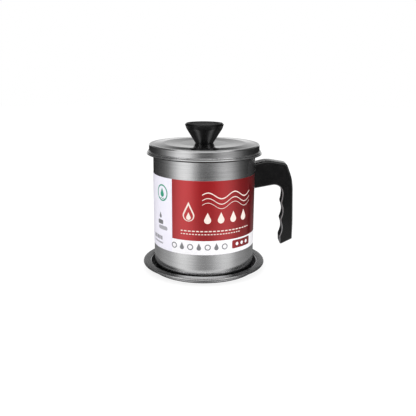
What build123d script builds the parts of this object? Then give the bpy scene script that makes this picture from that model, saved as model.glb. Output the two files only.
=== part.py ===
from build123d import *
import math
import os

# Oil strainer pot, in millimetres. +Z is up, the handle points along +X and the front faces -Y.
# The origin is the centre of the saucer's underside, on the surface that the pot stands on.
# Four loose groups stack on each other: saucer, pot with its handle, strainer, lid with its knob.

# ---- sheet metal and fits ----------------------------------------------------------------
sheet = 0.6                   # thickness of every drawn steel piece
seat_gap = 0.25               # air left between two loose pieces that stand on each other
moulding_gap = 0.3            # air between the moulded handle and the steel that it hugs
curl_radius = 1.1             # outside radius of a rolled edge
draw_radius = 1.5             # radius of the middle of the sheet at a tight drawn corner

# ---- pot ---------------------------------------------------------------------------------
pot_radius = 58.6             # outside of the straight body
pot_rim_height = 137.6        # top of the flat rim, from the table
pot_rim_width = 7.3           # the rim stands out this far from the body
pot_corner_radius = 5.0       # bottom corner, middle of the sheet
pot_dimple_margin = 12.6      # ring that the pot stands on, from the body in to the raised floor
pot_dimple_height = 1.2
pot_dimple_slope = 2.4        # width over which the floor rises

# ---- saucer ------------------------------------------------------------------------------
saucer_well_margin = 4.3      # from the pot's body out to the saucer's upright wall
saucer_rim_width = 9.0
saucer_height = 8.5

# ---- label -------------------------------------------------------------------------------
label_thickness = 0.25
label_bottom = 31.8
label_height = 82.4
label_end_gap = 0.7           # from each end of the label to the side of the handle

# ---- strainer ----------------------------------------------------------------------------
strainer_clearance = 0.75     # between the strainer's wall and the inside of the pot
strainer_rim_inset = 1.0      # the strainer's rim is this much smaller than the pot's
strainer_bead_radius = 0.6    # small safe bead round the strainer's rim
strainer_depth = 36.0         # from the pot's rim down to the strainer's floor
strainer_corner_radius = 4.0
strainer_floor_width = 12.25  # from the strainer's wall in to the opening under the mesh
collar_height = 3.6           # raised collar that keeps the lid in the middle
collar_clearance = 0.7        # between the collar and the inside of the lid's skirt
mesh_overlap = 4.0            # how far the mesh reaches over the floor round the opening
mesh_thickness = 0.5
mesh_ring_thickness = 0.8
mesh_ring_foot = 2.4          # width of the ring that stands on the floor outside the mesh
mesh_ring_gap = 0.1           # between the mesh's edge and the ring's foot

# ---- lid ---------------------------------------------------------------------------------
lid_inset = 1.7               # the lid's skirt is this much smaller than the strainer's rim
lid_skirt_height = 8.3
lid_corner_radius = 1.1       # middle of the sheet
lid_ring_width = 4.7          # level ring round the edge of the top
lid_slope_width = 11.5        # from that ring the top rises over this width to a low ridge
lid_ridge_rise = 0.7
lid_ridge_round = 18.0        # soft round top of the ridge
lid_dish_width = 19.0         # from the ridge the top sinks over this width to its flat panel
lid_dish_depth = 0.5
lid_crease_radius = 6.0       # soft crease at the foot of each of the two slopes

# ---- knob --------------------------------------------------------------------------------
knob_height = 22.8            # from the lid's panel to the top of the cap
knob_foot_radius = 10.3
knob_foot_round = 0.2
knob_shoulder_radius = 20.5   # the cone turns steeper here
knob_shoulder_height = 16.4
knob_shoulder_round = 6.0
knob_brim_radius = 22.0       # widest edge of the cone
knob_brim_thickness = 0.5
knob_ledge_depth = 1.3        # from the top of the cap down to the brim
knob_edge_round = 0.4
cap_inset = 1.2               # the cap is this much smaller than the brim
cap_gap = 0.1                 # between the cap and its pocket in the knob
cap_rim_width = 2.2
cap_dish_depth = 1.7
cap_dish_round = 1.6
cap_thickness = 3.0

# ---- fasteners ---------------------------------------------------------------------------
screw_radius = 2.45           # M5 shank
screw_tip_chamfer = 0.5
thread_gap = 0.05             # between a shank and the thread it turns in
screw_hole_gap = 0.3          # between a shank and the plain hole it passes through
screw_head_radius = 4.6
screw_head_height = 2.6
screw_head_round = 1.3
washer_radius = 5.4
washer_thickness = 0.9
driver_slot_width = 1.2
driver_slot_depth = 1.3
insert_radius = 3.9
insert_length = 11.0
insert_groove_depth = 0.5     # grooves that hold the insert in the moulding
insert_groove_width = 1.6
insert_bore_length = 10.0
knob_screw_grip = 8.5         # length of thread inside the insert

# ---- handle ------------------------------------------------------------------------------
handle_width = 19.0           # across, along Y
handle_round = 1.6            # rounding along its long edges
handle_stand_out = 45.5       # from the pot's body to the outside of the grip
arm_drop = 12.3               # from the pot's rim down to the top of the arm where it meets the pot
arm_root_depth = 29.2         # top to bottom of the arm where it meets the pot
arm_crown_distance = 12.8     # highest point of the arm, from the pot's body
arm_crown_rise = 3.6
arm_crown_radius = 30.0
arm_underside_slope = 0.2     # the underside rises away from the pot
bend_setback = 9.7            # corner of the bend before it is rounded, from the outside of the grip
bend_radius = 5.3
shoulder_setback = 1.8        # the outside turns steeper here
shoulder_drop = 20.0
shoulder_radius = 60.0
grip_upright_length = 20.5    # the lower part of the grip's outside stands upright
grip_outside_radius = 200.0
grip_length = 89.4            # from the top of the arm down to the grip's lower end
grip_end_slant = 7.6          # the lower end slants down towards the pot
grip_end_round = 1.8
grip_toe_inset = 0.1          # the end's inner corner stands back from the upper crests by this
grip_thickness = 14.6         # from the outside to the crests between the finger grooves
lowest_crest_rise = 9.9       # from the grip's lower end to its first crest
lowest_crest_lean = 0.4       # that crest stands further in than the two above it
highest_crest_drop = 23.3     # from the arm's underside at the notch down to the highest crest
groove_count = 2              # they share the space between the lowest and the highest crest
groove_depth = 2.5
crest_round = 2.0
notch_depth = 1.3             # hollow above the highest crest
notch_rise = 8.8              # from that crest up to where the hollow is deepest
notch_round = 10.0            # inside corner between arm and grip
handle_screw_drop = 13.3      # from the top of the arm down to the screw's axis
screw_recess_depth = 18.0     # from the outside of the grip in to the recess's floor
screw_recess_gap = 0.5        # round the washer in its recess
handle_screw_grip = 5.5       # length of thread inside the nut

# ---- handle bracket ----------------------------------------------------------------------
bracket_thickness = 1.2
bracket_inset = 2.0           # from each side of the handle in to the bracket
bracket_foot_gap = 2.4        # from the arm's underside up to the bracket's lower end
tongue_length = 10.9
tongue_slope = 0.26           # the tongue rises away from the pot like the arm's top
bracket_slot_gap = 0.2        # between the bracket and the slot it has in the handle
nut_across_flats = 8.0
nut_length = 6.5
nut_pocket_gap = 0.3

# ---- levels and radii that follow from the sizes above -----------------------------------
pot_base_height = sheet + seat_gap
pot_inside_radius = pot_radius - sheet
pot_rim_radius = pot_radius + pot_rim_width
pot_dimple_radius = pot_radius - pot_dimple_margin
saucer_well_radius = pot_radius + saucer_well_margin
saucer_radius = saucer_well_radius + saucer_rim_width
strainer_seat = pot_rim_height + seat_gap
strainer_rim_top = strainer_seat + sheet
strainer_rim_radius = pot_rim_radius - strainer_rim_inset
strainer_radius = pot_inside_radius - strainer_clearance
strainer_floor_top = strainer_seat - strainer_depth + sheet
mesh_opening_radius = strainer_radius - strainer_floor_width
mesh_radius = mesh_opening_radius + mesh_overlap
lid_radius = strainer_rim_radius - lid_inset
lid_slope_radius = lid_radius - lid_ring_width
lid_ridge_radius = lid_slope_radius - lid_slope_width
lid_panel_radius = lid_ridge_radius - lid_dish_width
lid_base = strainer_rim_top + seat_gap
lid_ring_top = lid_base + lid_skirt_height
lid_ridge_top = lid_ring_top + lid_ridge_rise
lid_panel_top = lid_ridge_top - lid_dish_depth
lid_panel_underside = lid_panel_top - sheet
collar_top = strainer_rim_top + collar_height
collar_radius = lid_radius - sheet - collar_clearance
cap_radius = knob_brim_radius - cap_inset
knob_top = lid_panel_top + knob_height
handle_reach = pot_radius + handle_stand_out
arm_root_top = pot_rim_height - arm_drop
arm_root_bottom = arm_root_top - arm_root_depth
arm_crown_x = pot_radius + arm_crown_distance
grip_inside_x = handle_reach - grip_thickness
grip_toe_x = grip_inside_x + grip_toe_inset
notch_x = grip_inside_x + notch_depth
grip_bottom_outside = arm_root_top - grip_length
grip_bottom_inside = grip_bottom_outside - grip_end_slant
handle_screw_height = arm_root_top - handle_screw_drop
screw_recess_x = handle_reach - screw_recess_depth
bracket_width = handle_width - 2 * bracket_inset
bracket_bottom = arm_root_bottom + bracket_foot_gap
tongue_end_x = pot_radius + tongue_length
saddle_radius = pot_radius + bracket_thickness
nut_end = saddle_radius + nut_length


def side_view(line):
    """Stand a line drawn as (distance from the axis, height) upright in the XZ plane."""
    return Plane.XZ * line


def drawn_sheet(points, radii):
    """A round piece of sheet steel. The points are the middle of the sheet, with a radius per corner."""
    section = trace(FilletPolyline(*points, radius=radii), sheet)
    return revolve(side_view(section), Axis.Z)


def turned(points, radii=None):
    """A solid of revolution with the given closed outline, its corners rounded by the radii."""
    if radii is None:
        outline = Polyline(*points, close=True)
    else:
        outline = FilletPolyline(*points, radius=radii, close=True)
    return revolve(side_view(make_face(outline)), Axis.Z)


def rolled_edge(radius, top, bead_radius):
    """The bead that a sheet's edge is rolled into, its outside at the given radius and its top."""
    bead = Pos(radius - bead_radius, top - bead_radius) * Circle(bead_radius)
    return revolve(side_view(bead), Axis.Z)


def upright_cylinder(radius, bottom, top):
    """A cylinder about the Z axis between two heights."""
    return Pos(0, 0, bottom) * Cylinder(radius, top - bottom, align=(Align.CENTER, Align.CENTER, Align.MIN))


def at_handle_screw(x):
    """The plane across the handle screw's axis at the given x, facing along +X."""
    return Plane.YZ.offset(x) * Pos(0, handle_screw_height)


def level_cylinder(radius, start, end):
    """A cylinder on the handle screw's axis, between two places along X."""
    return at_handle_screw(start) * Cylinder(
        radius, end - start, align=(Align.CENTER, Align.CENTER, Align.MIN)
    )


def across(face_outline, width):
    """Extrude an outline drawn as (x, height) to both sides of the XZ plane."""
    return extrude(Plane.XZ * make_face(face_outline), width / 2, both=True)


def slotted_screw(shank_length):
    """A pan-head screw that points along +Z, the underside of its head on the XY plane."""
    head = turned(
        [(0, -screw_head_height), (screw_head_radius, -screw_head_height), (screw_head_radius, 0), (0, 0)],
        [0, screw_head_round, 0, 0],
    )
    shank = upright_cylinder(screw_radius, 0, shank_length)
    shank = chamfer(shank.edges().sort_by(Axis.Z)[-1], screw_tip_chamfer)
    slot = Pos(0, 0, driver_slot_depth - screw_head_height) * Box(
        2 * washer_radius,
        driver_slot_width,
        screw_head_height,
        align=(Align.CENTER, Align.CENTER, Align.MAX),
    )
    return head + shank - slot


def plain_washer():
    """A washer that lies on the XY plane."""
    disc = upright_cylinder(washer_radius, 0, washer_thickness)
    return disc - upright_cylinder(screw_radius + screw_hole_gap, 0, washer_thickness)


# ---- the loose saucer --------------------------------------------------------------------
def make_saucer():
    middle = sheet / 2
    wall = saucer_well_radius - middle
    dish = drawn_sheet(
        [
            (0, middle),
            (wall, middle),
            (wall, saucer_height - middle),
            (saucer_radius - curl_radius, saucer_height - middle),
        ],
        [draw_radius, draw_radius],
    )
    return dish + rolled_edge(saucer_radius, saucer_height, curl_radius)


# ---- the pot and what is fixed to it -----------------------------------------------------
def make_pot_body():
    middle = sheet / 2
    wall = pot_radius - middle
    floor = pot_base_height + middle
    rim = pot_rim_height - middle
    cup = drawn_sheet(
        [
            (0, floor + pot_dimple_height),
            (pot_dimple_radius, floor + pot_dimple_height),
            (pot_dimple_radius + pot_dimple_slope, floor),
            (wall, floor),
            (wall, rim),
            (pot_rim_radius - curl_radius, rim),
        ],
        [draw_radius, draw_radius, pot_corner_radius, draw_radius],
    )
    return cup + rolled_edge(pot_rim_radius, pot_rim_height, curl_radius)


def make_label_band():
    half_gap = math.degrees(math.asin((handle_width / 2 + label_end_gap) / pot_radius))
    strip = Pos(pot_radius, label_bottom) * Rectangle(
        label_thickness, label_height, align=(Align.MIN, Align.MIN)
    )
    band = revolve(side_view(strip), Axis.Z, 360 - 2 * half_gap)
    return Rot(0, 0, half_gap) * band


def bracket_blank(gap):
    """The bracket's saddle and tongue over a solid pot, grown by a gap to cut its slot in the handle."""
    end = tongue_end_x + gap
    end_top = arm_root_top + tongue_slope * (end - pot_radius)
    thick = bracket_thickness + gap
    outside = saddle_radius + gap
    side = Polyline(
        (0, bracket_bottom - gap),
        (outside, bracket_bottom - gap),
        (outside, arm_root_top - thick),
        (end, end_top - thick),
        (end, end_top + gap),
        (outside, arm_root_top + tongue_slope * bracket_thickness + gap),
        (0, arm_root_top + gap),
        close=True,
    )
    slab = across(side, bracket_width + 2 * gap)
    saddle_zone = upright_cylinder(outside, 0, lid_base)
    tongue_zone = upright_cylinder(handle_reach, arm_root_top - thick, lid_base)
    return slab & (saddle_zone + tongue_zone)


def make_handle_bracket():
    return bracket_blank(0) - upright_cylinder(pot_radius, 0, lid_base)


def hexagon_bar(across_flats, start, end):
    """A hexagonal bar on the handle screw's axis, between two places along X."""
    outline = RegularPolygon(across_flats / 2, 6, major_radius=False)
    return extrude(at_handle_screw(start) * outline, end - start)


def make_bracket_nut():
    nut = hexagon_bar(nut_across_flats, pot_radius, nut_end)
    nut -= upright_cylinder(saddle_radius, 0, lid_base)
    return nut - level_cylinder(screw_radius + thread_gap, pot_radius, nut_end)


def finger_groove(low, high):
    """One arc of the grip's inner edge between two crests, hollowed towards the outside."""
    middle = (Vector(*low) + Vector(*high)) / 2
    return ThreePointArc(low, middle + Vector(groove_depth, 0), high)


def handle_blank():
    """The whole handle before its holes are cut, with sharp long edges."""
    start = pot_inside_radius
    underside_start = arm_root_bottom - arm_underside_slope * (pot_radius - start)
    underside_end = arm_root_bottom + arm_underside_slope * (notch_x - pot_radius)
    lowest = grip_bottom_inside + lowest_crest_rise
    groove_length = (underside_end - highest_crest_drop - lowest) / groove_count
    crests = [(grip_inside_x - lowest_crest_lean, lowest)]
    crests += [(grip_inside_x, lowest + (groove + 1) * groove_length) for groove in range(groove_count)]
    notch_height = crests[-1][1] + notch_rise
    outside = FilletPolyline(
        (start, arm_root_top),
        (arm_crown_x, arm_root_top + arm_crown_rise),
        (handle_reach - bend_setback, arm_root_top),
        (handle_reach - shoulder_setback, arm_root_top - shoulder_drop),
        (handle_reach, grip_bottom_outside + grip_upright_length),
        (handle_reach, grip_bottom_outside),
        (grip_toe_x, grip_bottom_inside),
        radius=[arm_crown_radius, bend_radius, shoulder_radius, grip_outside_radius, grip_end_round],
    )
    inside = [Line((grip_toe_x, grip_bottom_inside), crests[0])]
    inside += [finger_groove(low, high) for low, high in zip(crests, crests[1:])]
    inside += [TangentArc((notch_x, notch_height), crests[-1], tangent=(0, -1))]
    inside += [Line((notch_x, notch_height), (notch_x, underside_end))]
    root = Polyline((notch_x, underside_end), (start, underside_start), (start, arm_root_top))
    outline = Wire([edge for line in [outside, *inside, root] for edge in line.edges()])
    blank = extrude(Plane.XZ * make_face(outline), handle_width / 2, both=True)
    rounding = {grip_bottom_inside: grip_end_round, underside_end: notch_round}
    rounding.update({crest_height: crest_round for _, crest_height in crests})
    for height, radius in rounding.items():
        corner = blank.edges().filter_by(Axis.Y).sort_by_distance((grip_inside_x, 0, height))[0]
        blank = fillet(corner, radius)
    return blank


def make_handle():
    blank = handle_blank()
    side_faces = [blank.faces().sort_by(Axis.Y)[end] for end in (0, -1)]
    long_edges = [edge for face in side_faces for edge in face.edges() if edge.center().X > pot_radius]
    handle = fillet(long_edges, handle_round)
    handle -= upright_cylinder(pot_radius + moulding_gap, 0, lid_base)
    handle -= bracket_blank(bracket_slot_gap)
    handle -= hexagon_bar(nut_across_flats + 2 * nut_pocket_gap, pot_radius, nut_end + nut_pocket_gap)
    handle -= level_cylinder(screw_radius + screw_hole_gap, pot_radius, screw_recess_x)
    return handle - level_cylinder(washer_radius + screw_recess_gap, screw_recess_x, handle_reach)


def make_handle_washer():
    return at_handle_screw(screw_recess_x) * plain_washer()


def make_handle_screw():
    head_seat = screw_recess_x + washer_thickness
    shank_length = head_seat - (nut_end - handle_screw_grip)
    return at_handle_screw(head_seat) * Rot(180, 0, 0) * slotted_screw(shank_length)


# ---- the drop-in strainer ----------------------------------------------------------------
def make_strainer_cup():
    middle = sheet / 2
    wall = strainer_radius - middle
    collar_wall = collar_radius - middle
    floor = strainer_floor_top - middle
    rim = strainer_rim_top - middle
    cup = drawn_sheet(
        [
            (mesh_opening_radius, floor),
            (wall, floor),
            (wall, collar_top - middle),
            (collar_wall, collar_top - middle),
            (collar_wall, rim),
            (strainer_rim_radius - strainer_bead_radius, rim),
        ],
        [strainer_corner_radius, draw_radius, draw_radius, collar_clearance + middle],
    )
    bead_top = strainer_seat + 2 * strainer_bead_radius
    return cup + rolled_edge(strainer_rim_radius, bead_top, strainer_bead_radius)


def make_strainer_mesh():
    return upright_cylinder(mesh_radius, strainer_floor_top, strainer_floor_top + mesh_thickness)


def make_mesh_ring():
    foot = mesh_radius + mesh_ring_gap
    over_mesh = strainer_floor_top + mesh_thickness
    top = over_mesh + mesh_ring_thickness
    return turned(
        [
            (mesh_opening_radius, over_mesh),
            (foot, over_mesh),
            (foot, strainer_floor_top),
            (foot + mesh_ring_foot, strainer_floor_top),
            (foot + mesh_ring_foot, top),
            (mesh_opening_radius, top),
        ]
    )


# ---- the lid and its knob ----------------------------------------------------------------
def make_lid():
    middle = sheet / 2
    skirt = lid_radius - middle
    lid = drawn_sheet(
        [
            (0, lid_panel_top - middle),
            (lid_panel_radius, lid_panel_top - middle),
            (lid_ridge_radius, lid_ridge_top - middle),
            (lid_slope_radius, lid_ring_top - middle),
            (skirt, lid_ring_top - middle),
            (skirt, lid_base),
        ],
        [lid_crease_radius, lid_ridge_round, lid_crease_radius, lid_corner_radius],
    )
    return lid - upright_cylinder(screw_radius + screw_hole_gap, lid_base, knob_top)


def make_knob_insert():
    grooved = insert_radius - insert_groove_depth
    quarter = insert_length / 4
    outline = [(0, 0)]
    for middle in (quarter, 3 * quarter):
        low = middle - insert_groove_width / 2
        high = middle + insert_groove_width / 2
        outline += [(insert_radius, outline[-1][1]), (insert_radius, low), (grooved, low), (grooved, high)]
    outline += [(insert_radius, outline[-1][1]), (insert_radius, insert_length), (0, insert_length)]
    return Pos(0, 0, lid_panel_top) * turned(outline)


def bored_insert(solid_insert):
    bore = upright_cylinder(screw_radius + thread_gap, lid_panel_top, lid_panel_top + insert_bore_length)
    return solid_insert - bore


def make_knob():
    brim_top = knob_height - knob_ledge_depth
    pocket_floor = knob_height - cap_thickness
    pocket = cap_radius + cap_gap
    knob = turned(
        [
            (0, 0),
            (knob_foot_radius, 0),
            (knob_shoulder_radius, knob_shoulder_height),
            (knob_brim_radius, brim_top - knob_brim_thickness),
            (knob_brim_radius, brim_top),
            (pocket, brim_top),
            (pocket, pocket_floor),
            (0, pocket_floor),
        ],
        [0, knob_foot_round, knob_shoulder_round, knob_edge_round, knob_edge_round, knob_edge_round, 0, 0],
    )
    return Pos(0, 0, lid_panel_top) * knob - make_knob_insert()


def make_knob_cap():
    dish = cap_radius - cap_rim_width
    dish_floor = cap_thickness - cap_dish_depth
    cap = turned(
        [
            (0, 0),
            (cap_radius, 0),
            (cap_radius, cap_thickness),
            (dish, cap_thickness),
            (dish - cap_dish_depth, dish_floor),
            (0, dish_floor),
        ],
        [0, 0, knob_edge_round, knob_edge_round, cap_dish_round, 0],
    )
    return Pos(0, 0, knob_top - cap_thickness) * cap


def make_knob_washer():
    return Pos(0, 0, lid_panel_underside - washer_thickness) * plain_washer()


def make_knob_screw():
    shank_length = washer_thickness + sheet + knob_screw_grip
    return Pos(0, 0, lid_panel_underside - washer_thickness) * slotted_screw(shank_length)


pieces = {
    "saucer": make_saucer(),
    "pot_body": make_pot_body(),
    "label_band": make_label_band(),
    "handle_bracket": make_handle_bracket(),
    "bracket_nut": make_bracket_nut(),
    "handle": make_handle(),
    "handle_washer": make_handle_washer(),
    "handle_screw": make_handle_screw(),
    "strainer_cup": make_strainer_cup(),
    "strainer_mesh": make_strainer_mesh(),
    "mesh_ring": make_mesh_ring(),
    "lid": make_lid(),
    "knob": make_knob(),
    "knob_cap": make_knob_cap(),
    "knob_insert": bored_insert(make_knob_insert()),
    "knob_washer": make_knob_washer(),
    "knob_screw": make_knob_screw(),
}

os.makedirs("parts", exist_ok=True)
for name, piece in pieces.items():
    export_step(piece, f"parts/{name}.step")
    print(name, len(piece.solids()), round(piece.volume, 2), piece.is_valid)
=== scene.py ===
"""Oil strainer pot: a brushed steel pot with a paper label, a side handle, a drop-in strainer,
a lid with a cone knob, and the saucer that it stands in. Every piece is built round the solid
model's frame, in metres, with +Z up, the handle towards +X and the front towards -Y."""

import cmath
import math

import bmesh
import bpy
from mathutils import Matrix, Vector


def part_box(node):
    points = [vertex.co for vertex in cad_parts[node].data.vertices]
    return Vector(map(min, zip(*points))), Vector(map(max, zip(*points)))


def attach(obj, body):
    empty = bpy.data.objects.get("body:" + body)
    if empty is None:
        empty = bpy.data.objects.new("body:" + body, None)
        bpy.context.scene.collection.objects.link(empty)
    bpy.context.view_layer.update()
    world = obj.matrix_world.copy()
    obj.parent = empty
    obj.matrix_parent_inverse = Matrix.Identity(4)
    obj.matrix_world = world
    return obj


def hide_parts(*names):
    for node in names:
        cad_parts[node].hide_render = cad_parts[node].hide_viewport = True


bl_info = {
    "name": "Oil strainer pot",
    "version": (1, 0, 0),
    "blender": (4, 5, 0),
    "location": "3D View > Sidebar > Oil Pot",
    "description": "Builds an oil strainer pot with its label, handle, strainer, lid and saucer",
    "category": "Object",
}

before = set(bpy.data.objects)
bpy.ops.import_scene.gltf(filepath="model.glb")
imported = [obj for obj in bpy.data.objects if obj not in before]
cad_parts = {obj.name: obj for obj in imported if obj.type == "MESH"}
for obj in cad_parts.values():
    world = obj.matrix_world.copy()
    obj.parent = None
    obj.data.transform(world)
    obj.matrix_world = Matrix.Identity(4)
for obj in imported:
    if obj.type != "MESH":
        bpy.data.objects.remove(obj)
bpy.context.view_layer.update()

MILLIMETRE = 0.001
TURN_STEPS = 256  # faces round a turned piece
ARC_STEP = math.radians(6)  # turn between two points of a rounded corner
CORNER_SUPPORT = 0.5 * MILLIMETRE  # extra ring this far from each end of a rounded corner
SHARP_ANGLE = math.radians(35)


# ---- settings ----------------------------------------------------------------------------
def size(name, description, millimetres):
    """A length that a user can change, with its default given in millimetres."""
    return bpy.props.FloatProperty(
        name=name,
        description=description,
        default=millimetres * MILLIMETRE,
        min=0.0,
        precision=5,
        unit="LENGTH",
        subtype="DISTANCE",
    )


def turn(name, description, degrees):
    """An angle that a user can change, with its default given in degrees."""
    return bpy.props.FloatProperty(
        name=name,
        description=description,
        default=math.radians(degrees),
        unit="ROTATION",
        subtype="ANGLE",
    )


def share(name, description, default):
    """A setting between 0 and 1."""
    return bpy.props.FloatProperty(
        name=name, description=description, default=default, min=0.0, max=1.0, subtype="FACTOR"
    )


def colour(name, description, default):
    """A colour that a user can change."""
    return bpy.props.FloatVectorProperty(
        name=name, description=description, default=default, min=0.0, max=1.0, size=3, subtype="COLOR"
    )


class SteelSettings(bpy.types.PropertyGroup):
    sheet: size("Sheet", "Thickness of every drawn steel piece", 0.6)
    curl: size("Rolled edge", "Outside radius of the rolled edge of pot and saucer", 1.1)
    draw: size("Drawn corner", "Radius of a tight drawn corner, middle of the sheet", 1.5)
    tone: colour("Steel", "Colour of the bare steel", (0.66, 0.66, 0.665))
    body_roughness: share("Body roughness", "Roughness of the brushed body", 0.18)
    lid_roughness: share("Lid roughness", "Roughness of the polished lid", 0.13)


class PotSettings(bpy.types.PropertyGroup):
    wall: size("Wall radius", "Outside radius of the straight body", 58.6)
    rim: size("Rim radius", "Outside radius of the flat rim", 65.9)
    foot: size("Foot", "Height of the pot's underside above the table", 0.85)
    rim_top: size("Rim height", "Top of the flat rim above the table", 137.6)
    corner: size("Bottom corner", "Radius of the bottom corner, middle of the sheet", 5.0)
    dimple: size("Raised floor", "Radius of the part of the floor that is pushed up", 46.0)
    dimple_rise: size("Floor rise", "How far the floor is pushed up", 1.2)
    dimple_slope: size("Floor slope", "Width over which the floor rises", 2.4)
    coating: colour("Coating", "Colour of the non-stick coating inside", (0.045, 0.045, 0.05))


class SaucerSettings(bpy.types.PropertyGroup):
    rim: size("Rim radius", "Outside radius of the saucer", 71.9)
    well: size("Well radius", "Outside radius of the upright wall", 62.9)
    height: size("Height", "Top of the saucer's rim above the table", 8.5)
    tone: colour("Steel", "Colour of the saucer's steel", (0.53, 0.53, 0.535))


class LabelSettings(bpy.types.PropertyGroup):
    thickness: size("Thickness", "Thickness of the label", 0.25)
    bottom: size("Bottom edge", "Height of the label's lower edge", 31.8)
    top: size("Top edge", "Height of the label's upper edge", 114.2)
    opening: size("Opening", "Half of the gap that the label leaves at the handle", 10.2)
    panel: colour("Panel", "Colour of the big panel", (0.58, 0.024, 0.029))
    field: colour("Field", "Colour of the pale field", (0.9, 0.88, 0.97))
    strip: colour("Strip", "Colour of the strip under the panel", (0.95, 0.94, 0.96))
    cream: colour("Cream", "Colour of the motifs on the panel", (0.93, 0.8, 0.72))
    green: colour("Green", "Colour of the round emblem", (0.03, 0.33, 0.2))
    grey: colour("Grey", "Colour of the small marks", (0.2, 0.2, 0.21))
    panel_left: size("Panel's left edge", "From the front middle round to the panel's left edge", 37.4)
    panel_bottom: size("Panel's lower edge", "Height of the panel's lower edge", 47.8)
    back_left: size("Back panel's start", "From the front middle round to the back panel", 150.0)
    back_width: size("Back panel's width", "Width of the back panel round the pot", 82.0)


class HandleSettings(bpy.types.PropertyGroup):
    width: size("Width", "Width across, along Y", 19.0)
    rounding: size("Rounding", "Rounding along the long edges", 1.6)
    reach: size("Reach", "Outside of the grip from the pot's axis", 104.1)
    root_top: size("Root top", "Top of the arm at the pot", 125.3)
    root_bottom: size("Root bottom", "Underside of the arm at the pot", 96.1)
    crown_distance: size("Crown distance", "Highest point of the arm, from the pot's wall", 12.8)
    crown_rise: size("Crown rise", "Rise of the arm's top to its highest point", 3.6)
    crown_round: size("Crown radius", "Radius of the arm's highest place", 30.0)
    bend_setback: size("Bend setback", "Corner of the bend, in from the grip's outside", 9.7)
    bend_round: size("Bend radius", "Outside radius of the bend from arm to grip", 5.3)
    shoulder_setback: size("Shoulder setback", "Shoulder, in from the grip's outside", 1.8)
    shoulder_drop: size("Shoulder drop", "From the arm's top down to the shoulder", 20.0)
    upright: size("Upright part", "Length of the grip's outside that stands upright", 20.5)
    grip_length: size("Grip length", "From the arm's top down to the grip's lower end", 89.4)
    end_slant: size("End slant", "How far the lower end drops towards the pot", 7.6)
    grip: size("Grip thickness", "From the outside to the crests of the grip", 14.6)
    toe_inset: size("Toe inset", "How far the end's inner corner stands back", 0.1)
    lowest_crest: size("Lowest crest", "First crest above the grip's lower end", 9.9)
    lowest_lean: size("Lowest lean", "How far that crest stands in from the others", 0.4)
    highest_crest: size("Highest crest", "Highest crest below the underside at the notch", 23.3)
    groove_depth: size("Groove depth", "Depth of a finger groove", 2.5)
    notch_depth: size("Notch depth", "Depth of the hollow above the highest crest", 1.3)
    notch_rise: size("Notch rise", "From that crest up to the deepest place", 8.8)
    notch_round: size("Notch corner", "Inside corner between arm and grip", 10.0)
    screw_height: size("Screw height", "Height of the screw's axis", 112.0)
    recess_floor: size("Recess floor", "Floor of the screw's recess from the pot's axis", 86.1)
    tongue: size("Tongue", "Length of the bracket's tongue on top of the arm", 10.9)
    tone: colour("Phenolic", "Colour of the black moulding", (0.003, 0.003, 0.0032))
    # painted highlight: the long rounded edges get a lighter colour than the moulding to stand in for their
    # sheen
    edge_highlight_tone: colour("Edges", "Colour of the polished long edges", (0.32, 0.32, 0.325))


class StrainerSettings(bpy.types.PropertyGroup):
    rim: size("Rim radius", "Outside radius of the strainer's rim", 64.9)
    wall: size("Wall radius", "Outside radius of the strainer's wall", 57.25)
    seat: size("Seat", "Underside of the strainer's rim above the table", 137.85)
    depth: size("Depth", "From the underside of the rim down to the underside of the floor", 36.0)
    bead: size("Bead", "Radius of the bead round the rim", 0.6)
    collar_height: size("Collar height", "Rise of the collar above the rim", 3.6)
    collar: size("Collar radius", "Outside radius of the collar", 61.9)
    opening: size("Opening radius", "Radius of the opening under the mesh", 45.0)
    mesh: size("Mesh radius", "Radius of the woven mesh", 49.0)
    wire: size("Wire radius", "Radius of one wire of the mesh", 0.125)
    pitch: size("Wire pitch", "Distance from one wire to the next", 1.25)
    ring: size("Ring radius", "Outside radius of the ring that clamps the mesh", 51.5)
    ring_sheet: size("Ring sheet", "Thickness of that ring over the mesh", 0.8)
    ring_edge: size("Ring edge", "Rounding of the ring's upper edges", 0.25)
    corner: size("Floor corner", "Radius of the floor's corner, middle of the sheet", 4.0)
    collar_corner: size("Collar corner", "Radius at the foot of the collar, middle of the sheet", 1.0)


class LidSettings(bpy.types.PropertyGroup):
    radius: size("Radius", "Outside radius of the skirt", 63.2)
    base: size("Base", "Lower edge of the skirt above the table", 138.7)
    ring_top: size("Ring height", "Top of the level ring at the edge", 147.0)
    slope: size("Slope radius", "Where the top starts to rise", 58.5)
    crest: size("Crest radius", "Top of the low ridge between the edge and the panel", 47.0)
    crest_top: size("Crest height", "Top of the low ridge above the table", 147.7)
    panel: size("Panel radius", "Flat panel in the middle", 28.0)
    panel_top: size("Panel height", "Top of the flat panel", 147.2)
    hole: size("Hole radius", "Hole for the knob's screw", 2.75)
    corner: size("Corner", "Radius of the corner over the skirt, middle of the sheet", 1.1)
    crease: size("Crease", "Radius of the soft bends in the top; the ridge's is three times it", 6.0)


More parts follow.
